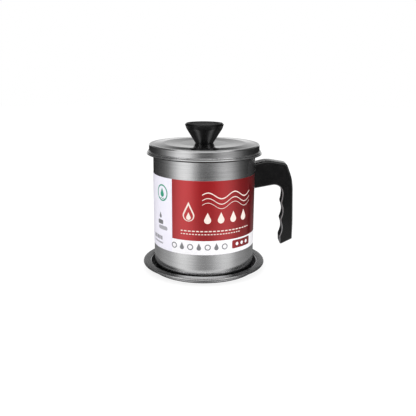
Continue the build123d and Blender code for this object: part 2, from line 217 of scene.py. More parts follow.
class KnobSettings(bpy.types.PropertyGroup):
    foot: size("Foot radius", "Radius where the knob stands on the lid", 10.3)
    shoulder: size("Shoulder radius", "Where the cone turns steeper", 20.5)
    shoulder_rise: size("Shoulder height", "Height of that turn above the lid's panel", 16.4)
    brim: size("Brim radius", "Widest edge of the cone", 22.0)
    height: size("Height", "From the lid's panel to the top of the cap", 22.8)
    ledge: size("Ledge", "From the top of the cap down to the brim", 1.3)
    cap: size("Cap radius", "Radius of the dished cap", 20.8)
    cap_depth: size("Cap thickness", "Thickness of the cap at its rim", 3.0)
    dish: size("Dish depth", "Depth of the dish in the cap", 1.7)
    cap_rim: size("Cap rim", "Width of the level rim round the dish", 2.2)
    dish_corner: size("Dish corner", "Radius at the foot of the dish's slope", 1.6)
    band: size("Brim band", "Height of the upright band round the brim", 0.5)
    bend: size("Bend", "Radius of the turn in the cone's side", 6.0)
    edge: size("Edge", "Rounding of the knob's and the cap's edges", 0.4)
    insert: size("Insert radius", "Radius of the hole that holds the brass insert", 3.9)
    insert_top: size("Insert hole", "Depth of that hole from the knob's foot", 11.0)
    tone: colour("Phenolic", "Colour of the black knob", (0.002, 0.002, 0.0023))


class StageSettings(bpy.types.PropertyGroup):
    floor_radius: size("Floor radius", "Radius of the pale floor", 3000.0)
    camera_distance: size("Camera distance", "From the pot's axis to the camera, along Y", 632.9)
    camera_height: size("Camera height", "Camera above the table", 229.5)
    pitch: turn("Pitch", "How far the camera looks down", 14.12)
    yaw: turn("Yaw", "How far the camera looks to the right", 0.43)
    roll: turn("Roll", "How far the camera leans", 0.416)
    lens: bpy.props.FloatProperty(
        name="Lens", description="Focal length in millimetres", default=47.86, min=1.0
    )


def settings(group):
    """The scene's copy of one settings group."""
    return getattr(bpy.context.scene, group)


# ---- shader maths ------------------------------------------------------------------------
class Value:
    """One output of a node tree. Arithmetic on it adds Math nodes to the tree."""

    def __init__(self, tree, socket):
        self.tree = tree
        self.socket = socket

    def __add__(self, other):
        return self.tree.math("ADD", self, other)

    def __sub__(self, other):
        return self.tree.math("SUBTRACT", self, other)

    def __rsub__(self, other):
        return self.tree.math("SUBTRACT", other, self)

    def __mul__(self, other):
        return self.tree.math("MULTIPLY", self, other)

    def __truediv__(self, other):
        return self.tree.math("DIVIDE", self, other)

    def __mod__(self, other):
        return self.tree.math("FLOORED_MODULO", self, other)

    def __abs__(self):
        return self.tree.math("ABSOLUTE", self)

    __radd__ = __add__
    __rmul__ = __mul__


class Tree:
    """A node tree that is filled in by plain calls."""

    def __init__(self, nodes, links):
        self.nodes = nodes
        self.links = links
        nodes.clear()

    def node(self, kind, options=None, inputs=None, output=0):
        """Add a node: its options first, then the values or links of its sockets."""
        made = self.nodes.new(kind)
        for key, option in (options or {}).items():
            if key == "stops":
                self.set_stops(made.color_ramp, option)
            else:
                setattr(made, key, option)
        for key, value in (inputs or {}).items():
            if isinstance(value, Value):
                self.links.new(value.socket, made.inputs[key])
            else:
                made.inputs[key].default_value = value
        return Value(self, made.outputs[output]) if made.outputs else made

    @staticmethod
    def set_stops(ramp, stops):
        """Give a colour ramp its stops, as pairs of position and grey level."""
        while len(ramp.elements) < len(stops):
            ramp.elements.new(0.5)
        for element, (position, level) in zip(ramp.elements, stops):
            element.position = position
            element.color = (level, level, level, 1)

    def math(self, operation, *values, clamp=False):
        """One Math node."""
        return self.node(
            "ShaderNodeMath", {"operation": operation, "use_clamp": clamp}, dict(enumerate(values))
        )

    def clamped(self, value):
        """The value kept between 0 and 1."""
        return self.math("ADD", value, 0.0, clamp=True)

    def smallest(self, first, second):
        return self.math("MINIMUM", first, second)

    def largest(self, first, second):
        return self.math("MAXIMUM", first, second)

    def mix(self, share_of_second, first, second):
        """Two colours mixed."""
        return self.node(
            "ShaderNodeMix", {"data_type": "RGBA"}, {0: share_of_second, 6: first, 7: second}, output=2
        )

    def vector(self, x, y, z):
        return self.node("ShaderNodeCombineXYZ", None, {0: x, 1: y, 2: z})

    def noise(self, place, scale, detail=2.0, roughness=0.5):
        """Smooth noise between 0 and 1 at a place."""
        return self.node(
            "ShaderNodeTexNoise",
            {"noise_dimensions": "3D"},
            {"Vector": place, "Scale": scale, "Detail": detail, "Roughness": roughness},
        )

    def bump(self, height, depth, strength=1.0):
        """A normal from a height that runs from 0 to 1 over a depth in metres."""
        return self.node(
            "ShaderNodeBump", None, {"Height": height, "Distance": depth, "Strength": strength}
        )

    def place(self):
        """The x, y and z of the point that is shaded, in metres."""
        point = self.node("ShaderNodeTexCoord", None, None, output=3)
        split = self.nodes.new("ShaderNodeSeparateXYZ")
        self.links.new(point.socket, split.inputs[0])
        return [Value(self, socket) for socket in split.outputs]


def solid_colour(rgb):
    """A colour property as a socket takes it."""
    return (*rgb, 1.0)


def new_material(name):
    """An empty material and its tree."""
    material = bpy.data.materials.new(name)
    material.use_nodes = True
    return material, Tree(material.node_tree.nodes, material.node_tree.links)


def finish_material(material, tree, **inputs):
    """Close a material with one Principled shader that takes the named inputs."""
    shader = tree.node(
        "ShaderNodeBsdfPrincipled", None, {key.replace("_", " "): value for key, value in inputs.items()}
    )
    tree.node("ShaderNodeOutputMaterial", None, {"Surface": shader})
    return material


# ---- finishes ----------------------------------------------------------------------------
LINE_DETAIL = 3.0
SPECK_SIZE_LIMIT = 0.16  # share of a coating cell that its speck fills
RIM_SHADOW_DEPTH = 2 * MILLIMETRE  # how far the painted shadow line under a rolled rim reaches down the wall
RIM_SHADOW_BLUR = 0.3 * MILLIMETRE
RIM_SHADOW_SHARE = 0.95  # how much of the steel's brightness the painted shadow line takes away
WELL_SHADE_SHARE = 0.85  # and how much the painted shade within a radius takes away


def brushed_steel(
    name, tone, roughness, anisotropy, line_depth, painted_shade_within=None, polished_above=None, painted_shadow_band=None
):
    """Steel with fine lines round the Z axis, on walls and on level faces alike. It has painted
    shade within a radius, is smoother above a height and has a painted shadow line between two
    heights, if they are given."""
    material, tree = new_material(name)
    x, y, z = tree.place()
    radius = tree.math("SQRT", x * x + y * y)
    across = (z + radius) / MILLIMETRE
    fine = tree.noise(tree.vector(x * 40, y * 40, across * 2.6), 1.0, detail=LINE_DETAIL, roughness=0.65)
    broad = tree.noise(tree.vector(x * 14, y * 14, across * 0.7), 1.0, detail=2.0)
    smudge = tree.noise(tree.vector(x * 30, y * 30, z * 30), 1.0, detail=3.0)
    streak = fine * 0.6 + broad * 0.4
    shade = streak * 0.66 + 0.62
    # painted shade: steel darkened within a radius, as in the saucer's well round the pot
    if painted_shade_within:
        shade = shade - tree.clamped((painted_shade_within - radius) / MILLIMETRE) * WELL_SHADE_SHARE
    # painted shadow: a dark line between two heights, as under the pot's rolled rim
    if painted_shadow_band:
        low, high = painted_shadow_band
        line = tree.smallest((z - low) / RIM_SHADOW_BLUR, (high - z) / RIM_SHADOW_BLUR)
        shade = shade - tree.clamped(line) * RIM_SHADOW_SHARE
    bright = solid_colour([min(1.0, part * 1.06) for part in tone])
    steel = tree.mix(tree.clamped(shade), (0, 0, 0, 1), bright)
    rough = streak * 0.12 + smudge * 0.08 + (roughness - 0.1)
    if polished_above:
        rough = rough - tree.clamped((z - polished_above) / MILLIMETRE) * 0.08
    return finish_material(
        material,
        tree,
        Base_Color=steel,
        Metallic=1.0,
        Roughness=tree.largest(rough, 0.05),
        Anisotropic=anisotropy,
        Anisotropic_Rotation=0.25,
        Normal=tree.bump(streak, line_depth),
    )


def dark_coating(name, tone):
    """Sprayed non-stick coating with fine specks."""
    material, tree = new_material(name)
    x, y, z = tree.place()
    place = tree.vector(x, y, z)
    specks = tree.node("ShaderNodeTexVoronoi", None, {"Vector": place, "Scale": 900.0})
    speck = tree.math("LESS_THAN", specks, SPECK_SIZE_LIMIT)
    cloud = tree.noise(place, 120.0, detail=3.0)
    grey = tree.mix(speck * cloud, solid_colour(tone), (0.3, 0.3, 0.31, 1))
    return finish_material(
        material,
        tree,
        Base_Color=grey,
        Roughness=cloud * 0.15 + 0.33,
        Normal=tree.bump(cloud, 0.05 * MILLIMETRE),
    )


def black_moulding(name, tone, roughness, edge=None):
    """Moulded black plastic with a faint grain and, if an edge is given, a painted highlight along
    the long edges. The edge is given as the highlight's colour, the distances from the XZ plane at
    which its band starts and ends, and the height where the band in front fades out."""
    material, tree = new_material(name)
    x, y, z = tree.place()
    place = tree.vector(x, y, z)
    grain = tree.noise(place, 2600.0, detail=2.0)
    wave = tree.noise(place, 90.0, detail=2.0)
    dull = solid_colour([part * 0.85 for part in tone])
    bright = solid_colour([part * 1.3 for part in tone])
    shade = tree.mix(wave, dull, bright)
    relief = grain * 0.35 + wave * 0.65
    # painted highlight: a lighter band of base colour along the long edges, kept below a height in front
    if edge:
        edge_highlight_tone, start, end, fade = edge
        soft = (end - start) / 4
        band = tree.smallest((abs(y) - start) / soft, (end - abs(y)) / soft)
        shown = tree.largest((fade - z) / (4 * MILLIMETRE), y / MILLIMETRE)
        shade = tree.mix(tree.clamped(band) * tree.clamped(shown), shade, solid_colour(edge_highlight_tone))
    return finish_material(
        material,
        tree,
        Base_Color=shade,
        Roughness=grain * 0.1 + wave * 0.08 + (roughness - 0.09),
        IOR=1.6,
        Normal=tree.bump(relief, 0.03 * MILLIMETRE),
    )


def plain_metal(name, tone, roughness, grain_scale):
    """Plated or turned metal with a fine mottled grain."""
    material, tree = new_material(name)
    x, y, z = tree.place()
    place = tree.vector(x, y, z)
    grain = tree.noise(place, grain_scale, detail=3.0)
    mottled = tree.mix(grain, solid_colour([part * 0.8 for part in tone]), solid_colour(tone))
    return finish_material(
        material,
        tree,
        Base_Color=mottled,
        Metallic=1.0,
        Roughness=grain * 0.15 + (roughness - 0.07),
        Normal=tree.bump(grain, 0.02 * MILLIMETRE),
    )


# ---- outlines: points are radius + height * 1j, or x + height * 1j -----------------------
def rounded_path(corners, radii, support=CORNER_SUPPORT):
    """A line through the corners, each corner between its ends rounded to its radius."""
    path = [corners[0]]
    for before, corner, after, radius in zip(corners, corners[1:], corners[2:], radii):
        back = (before - corner) / abs(before - corner)
        ahead = (after - corner) / abs(after - corner)
        sweep = cmath.phase(-ahead / back)
        reach = radius * math.tan(abs(sweep) / 2)
        start = corner + back * reach
        centre = start - back * 1j * math.copysign(radius, sweep)
        steps = max(2, math.ceil(abs(sweep) / ARC_STEP))
        arc = [centre + (start - centre) * cmath.rect(1, sweep * step / steps) for step in range(steps + 1)]
        path += [start + back * support, *arc, arc[-1] + ahead * support] if support else arc
    path.append(corners[-1])
    return path


def directions(path):
    """The direction of travel at each point of an open path."""
    steps = [after - before for before, after in zip(path, path[1:])]
    steps = [step / abs(step) for step in steps]
    inner = [before + after for before, after in zip(steps, steps[1:])]
    return [way / abs(way) for way in [steps[0], *inner, steps[-1]]]


def beside(path, distance):
    """The path moved sideways: left of its travel for a positive distance."""
    return [point + way * 1j * distance for point, way in zip(path, directions(path))]


def sheet_outline(middle, thickness, curl=0.0, curl_side=-1):
    """The closed outline of a sheet from the path of its middle, its far end rolled into a bead.

    The bead hangs on the right of the path for a curl_side of -1, and on its left for 1."""
    near = beside(middle, -curl_side * thickness / 2)
    far = beside(middle, curl_side * thickness / 2)
    if curl:
        out = middle[-1] - middle[-2]
        side = out / abs(out) * 1j
        hub = near[-1] + side * curl_side * curl
        sweep = math.pi + math.pi / 2 + math.asin(1 - thickness / curl)
        steps = math.ceil(sweep / (ARC_STEP * 2))
        spoke = near[-1] - hub
        near += [hub + spoke * cmath.rect(1, curl_side * sweep * step / steps) for step in range(1, steps)]
        far = far[:-1]
    return near + far[::-1]


def turned_mesh(name, outline, material_of=None):
    """A closed shell turned about the Z axis from a closed outline."""
    area = sum((here.conjugate() * there).imag for here, there in zip(outline, outline[1:] + outline[:1]))
    if area < 0:
        outline = outline[::-1]
    shell = bmesh.new()
    rings = []
    for point in outline:
        if point.real < 1e-6:
            rings.append([shell.verts.new((0, 0, point.imag))] * TURN_STEPS)
            continue
        spokes = [2 * math.pi * step / TURN_STEPS for step in range(TURN_STEPS)]
        rings.append(
            [
                shell.verts.new((point.real * math.cos(angle), point.real * math.sin(angle), point.imag))
                for angle in spokes
            ]
        )
    for index, (low, high) in enumerate(zip(rings, rings[1:] + rings[:1])):
        if low[0] is low[1] and high[0] is high[1]:
            continue
        middle = (outline[index] + outline[(index + 1) % len(outline)]) / 2
        for step in range(TURN_STEPS):
            after = (step + 1) % TURN_STEPS
            corners = dict.fromkeys([low[step], low[after], high[after], high[step]])
            face = shell.faces.new(corners)
            face.material_index = material_of(middle) if material_of else 0
    return finished_mesh(name, shell)


def finished_mesh(name, shell):
    """Turn an edit mesh into a smooth mesh whose real corners stay sharp."""
    mesh = bpy.data.meshes.new(name)
    shell.to_mesh(mesh)
    shell.free()
    mesh.shade_smooth()
    mesh.set_sharp_from_angle(angle=SHARP_ANGLE)
    return mesh


def outward_mesh(name, shell):
    """Turn an edit mesh into a mesh after its faces are made to look outwards."""
    bmesh.ops.recalc_face_normals(shell, faces=shell.faces)
    return finished_mesh(name, shell)


def join_rings(shell, here, there):
    """Join two closed rings of points with a band of faces."""
    for index in range(len(here)):
        after = (index + 1) % len(here)
        shell.faces.new([here[index], here[after], there[after], there[index]])


def linked_object(name, mesh):
    """A new object in the scene."""
    made = bpy.data.objects.new(name, mesh)
    bpy.context.scene.collection.objects.link(made)
    return made


def add_piece(name, mesh, materials, body, slot, *nodes):
    """Put a finished mesh in the scene in place of its solid nodes."""
    for material in materials:
        mesh.materials.append(material)
    piece = linked_object(name, mesh)
    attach(piece, body)
    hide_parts(*nodes)
    return piece


def dress_node(node, material):
    """Give a solid node that stays in view its material."""
    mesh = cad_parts[node].data
    mesh.materials.clear()
    mesh.materials.append(material)


def evaluated_mesh(piece, name):
    """The mesh of an object with its modifiers applied."""
    bpy.context.view_layer.update()
    graph = bpy.context.evaluated_depsgraph_get()
    mesh = bpy.data.meshes.new_from_object(piece.evaluated_get(graph))
    mesh.name = name
    return mesh


# ---- saucer ------------------------------------------------------------------------------
class OILPOT_OT_saucer(bpy.types.Operator):
    """Build the drip saucer"""

    bl_idname = "oilpot.saucer"
    bl_label = "Saucer"

    def execute(self, context):
        steel, saucer = settings("oilpot_steel"), settings("oilpot_saucer")
        middle = steel.sheet / 2
        wall = saucer.well - middle
        path = rounded_path(
            [
                complex(0, middle),
                complex(wall, middle),
                complex(wall, saucer.height - middle),
                complex(saucer.rim - steel.curl, saucer.height - middle),
            ],
            [steel.draw, steel.draw],
        )
        mesh = turned_mesh("drip_saucer", sheet_outline(path, steel.sheet, steel.curl))
        # the well is painted dark: painted shade in the deep gap round the pot's foot
        finish = brushed_steel(
            "saucer steel", saucer.tone, 0.22, 0.5, 0.004 * MILLIMETRE, painted_shade_within=saucer.well
        )
        add_piece("drip_saucer", mesh, [finish], "saucer", "saucer_steel", "saucer")
        return {"FINISHED"}


# ---- pot ---------------------------------------------------------------------------------
class OILPOT_OT_pot(bpy.types.Operator):
    """Build the brushed pot with its coated inside"""

    bl_idname = "oilpot.pot"
    bl_label = "Pot"

    def execute(self, context):
        steel, pot = settings("oilpot_steel"), settings("oilpot_pot")
        middle = steel.sheet / 2
        wall = pot.wall - middle
        floor = pot.foot + middle
        rim = pot.rim_top - middle
        path = rounded_path(
            [
                complex(0, floor + pot.dimple_rise),
                complex(pot.dimple, floor + pot.dimple_rise),
                complex(pot.dimple + pot.dimple_slope, floor),
                complex(wall, floor),
                complex(wall, rim),
                complex(pot.rim - steel.curl, rim),
            ],
            [steel.draw, steel.draw, pot.corner, steel.draw],
        )
        outline = sheet_outline(path, steel.sheet, steel.curl)
        coated_below = rim - steel.draw

        def coated(place):
            """1 on the inner side of the cup, 0 on the bare steel."""
            inside_wall = place.real < wall and place.imag < coated_below
            above_floor = place.imag > floor + pot.dimple_rise * (place.real < pot.dimple)
            return int(inside_wall and above_floor)

        mesh = turned_mesh("pot_shell", outline, coated)
        under_roll = pot.rim_top - 2 * steel.curl
        finishes = [
            brushed_steel(
                "pot steel",
                steel.tone,
                steel.body_roughness,
                0.3,
                0.006 * MILLIMETRE,
                polished_above=under_roll - steel.draw,
                # painted shadow line on the wall just under the rolled rim
                painted_shadow_band=(under_roll - RIM_SHADOW_DEPTH, under_roll),
            ),
            dark_coating("non-stick coating", pot.coating),
        ]
        add_piece("pot_shell", mesh, finishes, "pot", "pot_steel", "pot_body")
        return {"FINISHED"}


# ---- label -------------------------------------------------------------------------------
class LabelArt:
    """Shapes on the unrolled label, each 1 inside and 0 outside. Places are millimetres: round the
    pot from the middle of its front, positive towards the handle, and up from the table."""

    BLUR = 0.12  # half of the width over which the edge of a shape fades
    DROP_TIP = 2.3  # height of a drop's tip over its middle, in its radii

    def __init__(self, tree, label, radius):
        x, y, z = tree.place()
        full_turn = 2 * math.pi
        last = math.pi / 2 - math.asin(label.opening / radius)
        around = tree.math("ARCTAN2", x, tree.math("MULTIPLY", y, -1.0))
        around = (around + (full_turn - last)) % full_turn - (full_turn - last)
        self.tree = tree
        self.along = around * (radius / MILLIMETRE)
        self.up = z / MILLIMETRE
        self.right_end = last * radius / MILLIMETRE
        self.top_end = label.top / MILLIMETRE + 5

    def edge(self, distance):
        """1 inside a shape and 0 outside it, from the signed distance to its edge."""
        return self.tree.clamped(0.5 - distance / (2 * self.BLUR))

    def together(self, *shapes):
        """All of the shapes as one."""
        joined = shapes[0]
        for shape in shapes[1:]:
            joined = self.tree.largest(joined, shape)
        return joined

    def box(self, left, right, low, high, corner=0.0):
        """A level rectangle with rounded corners."""
        aside = abs(self.along - (left + right) / 2) - ((right - left) / 2 - corner)
        above = abs(self.up - (low + high) / 2) - ((high - low) / 2 - corner)
        if not corner:
            return self.edge(self.tree.largest(aside, above))
        aside = self.tree.largest(aside, 0.0)
        above = self.tree.largest(above, 0.0)
        return self.edge(self.tree.math("SQRT", aside * aside + above * above) - corner)

    def reach_from(self, centre, height):
        """Distance from a point on the label."""
        aside = self.along - centre
        above = self.up - height
        return self.tree.math("SQRT", aside * aside + above * above)

    def disc(self, centre, height, radius):
        return self.edge(self.reach_from(centre, height) - radius)

    def ring(self, centre, height, radius, line):
        return self.edge(abs(self.reach_from(centre, height) - radius) - line / 2)

    def drop(self, centre, height, radius):
        """A falling drop: a disc with a pointed cone on top."""
        tip = self.DROP_TIP * radius
        slope = math.tan(math.asin(radius / tip))
        rise = self.up - height
        cone = abs(self.along - centre) - (tip - rise) * slope
        above_disc = radius * radius / tip - rise
        cone = self.tree.largest(cone, above_disc)
        round_part = self.reach_from(centre, height) - radius
        return self.edge(self.tree.smallest(cone, round_part))

    def wave(self, height, swing, length, line, phase=0.0):
        """A wavy line round the label."""
        crest = self.tree.math("SINE", self.along * (2 * math.pi / length) + phase) * swing
        return self.edge(abs(self.up - height - crest) - line / 2)

    def dashes(self, low, high, length, gap, left, right):
        """A level row of short dashes."""
        beat = abs((self.along % (length + gap)) - (length + gap) / 2) - length / 2
        return self.edge(beat) * self.box(left, right, low, high)

    def front_motifs(self):
        """Drops, waves and two rows of dashes on the front panel."""
        hollow_drop = self.drop(-17.0, 76.0, 6.6) * (1 - self.drop(-17.0, 75.4, 5.2))
        shapes = [hollow_drop, self.drop(-17.0, 73.6, 2.6)]
        swell = self.box(-2.0, 60.0, 60.0, 112.0)
        for height, line in ((98.0, 1.2), (92.0, 0.9), (87.0, 0.6)):
            shapes.append(self.wave(height, 3.4, 31.0, line, phase=0.7) * swell)
        shapes += [self.drop(4.0 + 15.0 * step, 71.0, 3.8) for step in range(4)]
        shapes.append(self.dashes(58.0, 59.2, 3.2, 1.4, -26.0, 58.0))
        shapes.append(self.dashes(54.6, 55.6, 2.2, 1.2, -26.0, 44.0))
        return self.together(*shapes)

    def back_motifs(self):
        """A drop in a ring over a row of dashes, on the back panel."""
        emblem = self.together(self.ring(-191.0, 84.0, 17.0, 1.2), self.drop(-191.0, 80.0, 7.0))
        return self.together(emblem, self.dashes(57.0, 58.2, 3.2, 1.4, -222.0, -160.0))

    def emblem(self):
        """A ring with a drop over a rippled line."""
        centre, height, radius = -53.3, 96.7, 8.6
        ripple = self.wave(height - 6.3, 0.5, 4.0, 0.8) * self.disc(centre, height, radius - 0.8)
        return self.together(
            self.ring(centre, height, radius, 1.6), self.drop(centre, height - 1.5, 3.2), ripple
        )

    def small_marks(self):
        """Rows of dashes, and drops and rings by turns along the strip."""
        shapes = [self.dashes(42.0, 46.5, 3.0, 1.4, -74.0, -54.0)]
        shapes.append(self.dashes(37.5, 39.5, 1.6, 1.0, -74.0, -53.0))
        for step in range(7):
            centre = -34.5 + 9.7 * step
            solid = step % 2
            shapes.append(self.drop(centre, 39.4, 2.5) if solid else self.ring(centre, 40.5, 2.9, 1.2))
        shapes.append(self.box(-61.0, -44.5, 54.5, 59.0, 2.2) * 0.7)
        shapes.append(self.box(-62.0, -52.0, 60.5, 65.5, 1.5))
        shapes.append(self.drop(-57.0, 69.5, 2.2))
        for row in range(8):
            low = 100.0 - 6.0 * row
            shapes.append(self.dashes(low, low + 1.4, 4.0, 1.2, -140.0, -88.0))
        return self.together(*shapes)

    def tag_dots(self):
        """Three dots on the tag."""
        return self.together(*[self.disc(40.0 + 7.5 * step, 41.2, 2.0) for step in range(3)])


def label_print(label, radius):
    """The printed label: red metallic panels on a pale field, with a generic pattern of drops and
    waves."""
    material, tree = new_material("printed label")
    art = LabelArt(tree, label, radius)
    left, bottom = -label.panel_left / MILLIMETRE, label.panel_bottom / MILLIMETRE
    back_right = -label.back_left / MILLIMETRE
    back_left = back_right - label.back_width / MILLIMETRE
    right = art.right_end + 5
    panel = art.box(left, right, bottom, art.top_end)
    red = art.together(panel, art.box(back_left, back_right, bottom, art.top_end))
    strip = art.box(left, right, 0.0, bottom)
    tag = art.box(33.0, 62.0, 36.5, 46.0, 1.6)
    dots = art.tag_dots()
    cream = art.together(art.front_motifs() * panel, art.back_motifs())

    sheet = solid_colour(label.field)
    for shape, tone in (
        (strip, label.strip),
        (red, label.panel),
        (cream, label.cream),
        (art.emblem(), label.green),
        (art.small_marks(), label.grey),
        (tag, label.panel),
        (dots, label.strip),
    ):
        sheet = tree.mix(shape, sheet, solid_colour(tone))
    bare = (1 - cream) * tree.largest(red, tag * (1 - dots))
    x, y, z = tree.place()
    fibre = tree.noise(tree.vector(x, y, z), 1500.0, detail=3.0)
    return finish_material(
        material,
        tree,
        Base_Color=sheet,
        Metallic=bare * 0.85,
        Roughness=fibre * 0.08 + 0.28,
        Coat_Weight=bare,
        Coat_Roughness=0.1,
        Normal=tree.bump(fibre, 0.01 * MILLIMETRE),
    )


class OILPOT_OT_label(bpy.types.Operator):
    """Wrap the printed label round the pot, open at the handle"""

    bl_idname = "oilpot.label"
    bl_label = "Label"

    def execute(self, context):
        pot, label = settings("oilpot_pot"), settings("oilpot_label")
        opening = math.asin(label.opening / pot.wall)
        sweep = 2 * math.pi - 2 * opening
        outside = pot.wall + label.thickness
        section = [
            (pot.wall, label.bottom),
            (outside, label.bottom),
            (outside, label.top),
            (pot.wall, label.top),
        ]
        shell = bmesh.new()
        rows = []
        for step in range(TURN_STEPS + 1):
            angle = opening + sweep * step / TURN_STEPS
            rows.append(
                [
                    shell.verts.new((radius * math.cos(angle), radius * math.sin(angle), height))
                    for radius, height in section
                ]
            )
        for here, there in zip(rows, rows[1:]):
            for side in range(4):
                after = (side + 1) % 4
                shell.faces.new([here[side], there[side], there[after], here[after]])
        shell.faces.new(rows[0])
        shell.faces.new(rows[-1][::-1])
        mesh = finished_mesh("paper_label", shell)
        add_piece(
            "paper_label", mesh, [label_print(label, outside)], "pot", "label_paper", "label_band"
        )
        return {"FINISHED"}


# ---- handle ------------------------------------------------------------------------------
GROOVE_STEPS = 24
CREST_SOFTNESS = 0.105
UNDERSIDE_SLOPE = 0.2
TONGUE_SLOPE = 0.26
SHOULDER_ROUND = 60 * MILLIMETRE
EDGE_STEPS = 5  # faces across a rounded long edge
EDGE_SUPPORT = 0.15 * MILLIMETRE  # narrow band of the level side next to that edge
MOULDING_GAP = 0.3 * MILLIMETRE  # between the moulding and the pot
BRACKET_SHEET = 1.2 * MILLIMETRE
BRACKET_INSET = 2.0 * MILLIMETRE  # from each side of the handle in to the bracket
BRACKET_FOOT_GAP = 2.4 * MILLIMETRE  # from the arm's underside up to the bracket
SLOT_GAP = 0.2 * MILLIMETRE
SCREW_HOLE_RADIUS = 2.75 * MILLIMETRE
SCREW_RECESS_RADIUS = 5.9 * MILLIMETRE
GRIP_ROUND = 200 * MILLIMETRE
END_ROUND = 1.8 * MILLIMETRE


def finger_groove(low, high, depth, share_of_groove=1.0):
    """Points up one finger groove with softly rounded crests, without its last point."""
    points = []
    for step in range(GROOVE_STEPS):
        part = step / GROOVE_STEPS
        swell = math.sin(math.pi * part * share_of_groove)
        hollow = math.hypot(swell, CREST_SOFTNESS) - CREST_SOFTNESS
        points.append(low + (high - low) * part + depth * hollow)
    return points


def handle_path(handle, root):
    """The handle's side view as an open path, from the top of its root round to the underside."""
    inside = handle.reach - handle.grip
    notch = inside + handle.notch_depth
    underside = handle.root_bottom + UNDERSIDE_SLOPE * (notch - root)
    grip_end = handle.root_top - handle.grip_length
    toe = complex(inside + handle.toe_inset, grip_end - handle.end_slant)
    lowest = toe.imag + handle.lowest_crest
    highest = underside - handle.highest_crest
    crests = [
        complex(inside - handle.lowest_lean, lowest),
        complex(inside, (lowest + highest) / 2),
        complex(inside, highest),
    ]
    notch_height = highest + handle.notch_rise
    back = rounded_path(
        [
            complex(root, handle.root_top),
            complex(root + handle.crown_distance, handle.root_top + handle.crown_rise),
            complex(handle.reach - handle.bend_setback, handle.root_top),
            complex(handle.reach - handle.shoulder_setback, handle.root_top - handle.shoulder_drop),
            complex(handle.reach, grip_end + handle.upright),
            complex(handle.reach, grip_end),
            toe,
            crests[0],
        ],
        [handle.crown_round, handle.bend_round, SHOULDER_ROUND, GRIP_ROUND, END_ROUND, END_ROUND],
        support=0,
    )
    grooves = []
    for low, high in zip(crests, crests[1:]):
        grooves += finger_groove(low, high, handle.groove_depth)
    grooves += finger_groove(crests[-1], complex(inside, notch_height), handle.notch_depth, 0.5)
    corners = [
        complex(notch, notch_height),
        complex(notch, underside),
        complex(root, handle.root_bottom),
    ]
    return back[:-1] + grooves + rounded_path(corners, [handle.notch_round], support=0)


